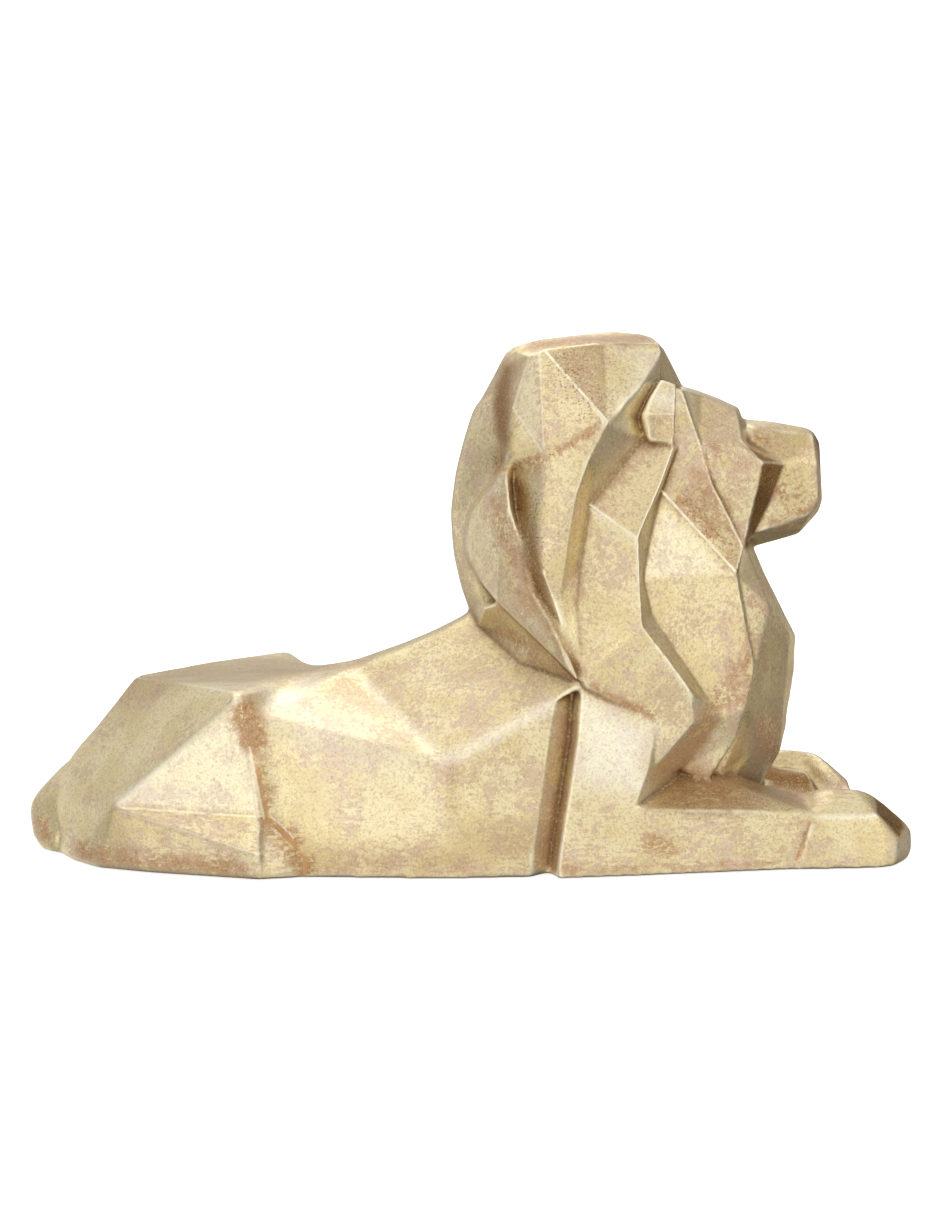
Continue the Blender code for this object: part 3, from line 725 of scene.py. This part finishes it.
def giltMaterial():
    g = gilt
    material, s, sockets = newMaterial("rubbed gilt")
    where = s.place()
    ridge, hollow, paintedLightAndShade = s.mask("ridge"), s.mask("hollow"), s.mask("paintedLightAndShade")
    rustPaint, leafPaint, sootPaint = s.mask("rust"), s.mask("leaf"), s.mask("soot")
    noise = {name: s.grain(where, *look) for name, look in giltNoises.items()}
    spots = {name: s.step(s.grain(where, *look), *steps) for name, (look, steps) in giltSpots.items()}
    grain = s.group("grain", {"Grain Size": g["grainSize"], "Brush Share": g["brushShare"]})

    # Rosy ground, with rust in its places and freckles of it everywhere
    color = s.mix(s.step(noise["slow"], *g["tanSteps"]), g["ground"], g["groundTan"])
    rustHere = s.plus(rustPaint, (s.around(noise["torn"]), g["rustRagged"]))
    rustMask = s.math("MULTIPLY", s.step(rustHere, *g["rustSteps"]), s.step(rustPaint, *g["rustRim"]))
    color = s.coat(color, s.mix(spots["rustDeep"], g["rust"], g["rustDeep"]), rustMask, g["rustShare"])
    freckleShare = s.plus(g["freckleShare"], (rustPaint, g["freckleInRust"]))
    color = s.coat(color, g["freckle"], spots["freckles"], freckleShare)

    # Torn leaf over it
    amount = s.plus(g["leafAmount"], (leafPaint, g["leafWhereThick"]), (rustPaint, g["leafInRust"]))
    height = s.node("ShaderNodeSeparateXYZ", {"Vector": where}).outputs["Z"]
    flakes = s.group("flakes", {
        "Amount": amount, "Patch Size": g["patchSize"], "Streak": s.step(height, *g["streakHeight"]),
    })["Flakes"]
    leafShade = s.step(s.plus(grain["Shade"], (noise["sand"], g["leafSand"])), *g["leafDeepSteps"])
    color = s.coat(color, s.mix(leafShade, g["leaf"], g["leafDeep"]), flakes, g["leafShare"])

    # Bare specks of the ground in the leaf
    color = s.coat(color, g["speck"], spots["specks"], g["speckShare"])

    # Painted light on lit facets, in pale paint through which flakes and rust still show, and painted shade
    # on the others
    highlightPaint = s.mix(flakes, g["paintedHighlight"], g["paintedHighlightOnLeaf"])
    highlightShare = s.math("MULTIPLY", paintedLightAndShade, g["highlightPerShare"], True)
    freeOfSpecks = s.without(spots["specks"], g["speckInHighlight"])
    color = s.coat(color, highlightPaint, highlightShare, s.without(rustMask), freeOfSpecks)
    color = s.coat(color, g["paintedShade"], s.math("MULTIPLY", paintedLightAndShade, -g["shadePerShare"], True))

    # Painted shade in the wide grooves and along narrow creases, dark stipple, and painted glints of pale
    # sparkle
    grooveShade = s.step(s.math("ADD", hollow, noise["torn"]), *g["grooveSteps"])
    color = s.coat(color, g["paintedShade"], grooveShade, g["grooveShadeShare"])
    # Painted shade along narrow creases, in dark paint
    creaseShade = s.step(s.math("MULTIPLY", ridge, -1.0), *g["lineSteps"])
    color = s.coat(color, g["dark"], creaseShade, g["creaseShadeShare"])
    dotShare = s.plus(g["dotShare"], (sootPaint, g["dotInSoot"]))
    color = s.coat(color, g["dark"], s.step(noise["sand"], *g["dotSteps"]), dotShare)
    # Painted glints: pale sparkle dots
    color = s.coat(color, g["edge"], spots["paintedGlints"], g["glintShare"])

    # Thin painted lines, broken here and there by torn noise, and edges worn pale with a painted highlight
    broken = s.step(noise["torn"], *g["brokenSteps"])
    for start, end, halfWidth, shade, share in thinLines.values():
        (x, z), (endX, endZ) = spot(*start), spot(*end)
        line = s.group("line", {"Start": (x, 0, z), "End": (endX, 0, endZ), "Half Width": halfWidth})["Line"]
        color = s.coat(color, g[shade], line, broken, share)
    # Edges that stand out are worn pale and carry a painted highlight
    worn = s.plus(ridge, (s.around(noise["torn"]), g["edgeTorn"]), (s.around(noise["slow"]), g["edgeSlow"]))
    wearAndHighlight = s.step(worn, *g["edgeSteps"])
    color = s.coat(color, g["edge"], wearAndHighlight, g["wearAndHighlightShare"])

    roughness = s.plus(g["roughness"], (s.without(flakes), g["roughnessBare"]),
                       (rustMask, g["roughnessRust"]), (wearAndHighlight, g["roughnessRubbed"]))
    metal = s.plus(g["metal"], (flakes, g["metalLeaf"]), (rustMask, g["metalRust"]), (wearAndHighlight, g["metalRubbed"]))
    bump = s.node("ShaderNodeBump", {"Strength": 1.0, "Distance": g["bump"], "Height": grain["Height"]})
    s.feed(color, sockets["Base Color"])
    s.feed(roughness, sockets["Roughness"])
    s.feed(metal, sockets["Metallic"])
    s.feed(bump.outputs["Normal"], sockets["Normal"])
    return material


base = dict(
    paint=(0.36, 0.24, 0.15, 1),
    worn=(0.55, 0.42, 0.28, 1),
    wornAmount=0.45,
    grainSize=0.0014,
    brushShare=0.7,
    bump=0.0001,
    roughness=0.5,
    roughnessShade=0.2,          # added by the slow shade of the paint
    metal=0.1,
)


def baseMaterial():
    b = base
    material, s, sockets = newMaterial("painted underside")
    grain = s.group("grain", {"Grain Size": b["grainSize"], "Brush Share": b["brushShare"]})
    flakes = s.group("flakes", {"Amount": b["wornAmount"], "Streak": 1.0})["Flakes"]
    bump = s.node("ShaderNodeBump", {"Strength": 1.0, "Distance": b["bump"], "Height": grain["Height"]})
    s.feed(s.mix(flakes, b["paint"], b["worn"]), sockets["Base Color"])
    s.feed(s.plus(b["roughness"], (grain["Shade"], b["roughnessShade"])), sockets["Roughness"])
    s.feed(bump.outputs["Normal"], sockets["Normal"])
    sockets["Metallic"].default_value = b["metal"]
    return material


# Studio: pale floor that rises to a wall behind, and a softly lit surround. Lengths in metres
studio = dict(
    floorWidth=6.0,
    floorDrop=0.0003,            # below the lion's underside
    wallWidth=4.0,
    wallHeight=1.6,
    wallAt=1.3,                  # behind the lion
    bend=0.5,
    bendSteps=16,
    color=(0.88, 0.88, 0.88, 1),
    roughness=0.9,
    specular=0.1,
    glow=0.80,
    surround=(0.05, 0.05, 0.05, 1),
    brightness=1.175,
    softness=12.0,               # the larger, the smaller each light
    beyond=(1.0, 1.0, 1.0, 1),   # what a camera sees past floor and wall
)


def paperMaterial():
    material, _, sockets = newMaterial("floor")
    sockets["Base Color"].default_value = studio["color"]
    sockets["Roughness"].default_value = studio["roughness"]
    sockets["Specular IOR Level"].default_value = studio["specular"]
    sockets["Emission Color"].default_value = studio["color"]
    sockets["Emission Strength"].default_value = studio["glow"]
    return material


def addSheet(name, half, profile, paper):
    # A sheet of paper with this profile, given as places behind the lion and heights
    corners = [(x, y, z - studio["floorDrop"]) for y, z in profile for x in (-half, half)]
    faces = [(2 * i, 2 * i + 1, 2 * i + 3, 2 * i + 2) for i in range(len(profile) - 1)]
    mesh = bpy.data.meshes.new(name)
    mesh.from_pydata(corners, [], faces)
    mesh.materials.append(paper)
    mesh.shade_smooth()
    sheet = bpy.data.objects.new(name, mesh)
    sheet.visible_glossy = sheet.visible_diffuse = False    # the surround lights the lion instead
    scene.collection.objects.link(sheet)


def makeFloor():
    c = studio
    paper = paperMaterial()
    half = c["floorWidth"] / 2
    foot = c["wallAt"] - c["bend"]
    turns = [turn * math.pi / 2 / c["bendSteps"] for turn in range(c["bendSteps"] + 1)]
    bend = [(foot + c["bend"] * math.sin(turn), c["bend"] - c["bend"] * math.cos(turn)) for turn in turns]
    addSheet("floor", half, [(-half, 0.0), (foot, 0.0)], paper)
    addSheet("backdrop", c["wallWidth"] / 2, bend + [(c["wallAt"], c["wallHeight"])], paper)


# Soft lights all round: azimuth from the camera towards the paws and height in degrees, strength, colour
warm, white, cool, amber = (1.0, 0.98, 0.94), (1.0, 0.99, 0.97), (1.0, 0.96, 0.97), (1.0, 0.88, 0.66)
softLights = dict(
    front=(0, 25, 0.50, warm),
    frontLow=(0, 0, 0.45, warm),
    frontHigh=(0, 52, 0.60, warm),
    tableFront=(0, -25, 0.35, warm),
    tableUnder=(0, -55, 0.45, warm),
    tableRight=(36, -25, 0.50, warm),
    tableLeft=(-36, -25, 0.60, warm),
    tableRear=(-108, -25, 0.80, white),
    tableBack=(140, -12, 0.55, amber),
    tableFar=(-150, -8, 0.30, cool),
    right=(30, 0, 0.30, warm),
    rightSide=(60, 0, 0.40, (1.0, 0.94, 0.82)),
    rightKey=(60, 25, 1.15, warm),
    rightHigh=(90, 52, 0.62, white),
    left=(-30, 0, 0.80, warm),
    leftSide=(-60, 12, 0.45, warm),
    leftHigh=(-45, 52, 0.55, warm),
    rearLow=(-120, 0, 0.45, white),
    rear=(-120, 25, 0.30, white),
    rearHigh=(-90, 52, 0.50, white),
    rearFar=(-135, 52, 0.35, white),
    back=(180, 52, 1.80, white),
    backLow=(180, 5, 0.25, cool),
    over=(0, 84, 0.62, white),
)


def makeLights():
    world = bpy.data.worlds.new("studio")
    world.use_nodes = True
    s = Sheet(world.node_tree)
    where = s.node("ShaderNodeTexCoord").outputs["Generated"]
    total = studio["surround"]
    for name, (azimuth, rise, strength, color) in softLights.items():
        turn, lift = math.radians(azimuth), math.radians(rise)
        toward = (math.sin(turn) * math.cos(lift), -math.cos(turn) * math.cos(lift), math.sin(lift))
        facing = s.vector("DOT_PRODUCT", where, toward, label=name)
        fall = s.math("MULTIPLY", s.math("SUBTRACT", facing, 1.0), studio["softness"])
        glow = s.math("MULTIPLY", s.math("EXPONENT", fall), strength * studio["brightness"])
        total = s.mix(glow, total, (*color, 1), blend_type="ADD", clamp_factor=False)
    seen = s.node("ShaderNodeLightPath").outputs["Is Camera Ray"]
    s.feed(s.mix(seen, total, studio["beyond"]), world.node_tree.nodes["Background"].inputs["Color"])
    scene.world = world
    scene.view_settings.view_transform = "Standard"


view = dict(
    place=(0.0037, -0.460, 0.1333),
    lookDown=5.29,               # degrees
    lens=44.04,                  # millimetres, as is the sensor's width
    sensor=36,
    clipStart=0.01,
)


def makeCamera():
    eye = bpy.data.cameras.new("camera")
    eye.sensor_fit = "HORIZONTAL"
    eye.sensor_width = view["sensor"]
    eye.lens = view["lens"]
    eye.clip_start = view["clipStart"]
    camera = bpy.data.objects.new("camera", eye)
    camera.location = view["place"]
    camera.rotation_euler = (math.radians(90 - view["lookDown"]), 0, 0)
    scene.collection.objects.link(camera)
    scene.camera = camera


makeCamera()
makeFloor()
makeLights()
print("studio ready")
lion = castSkin()
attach(lion, "root")
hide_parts(lionNode)
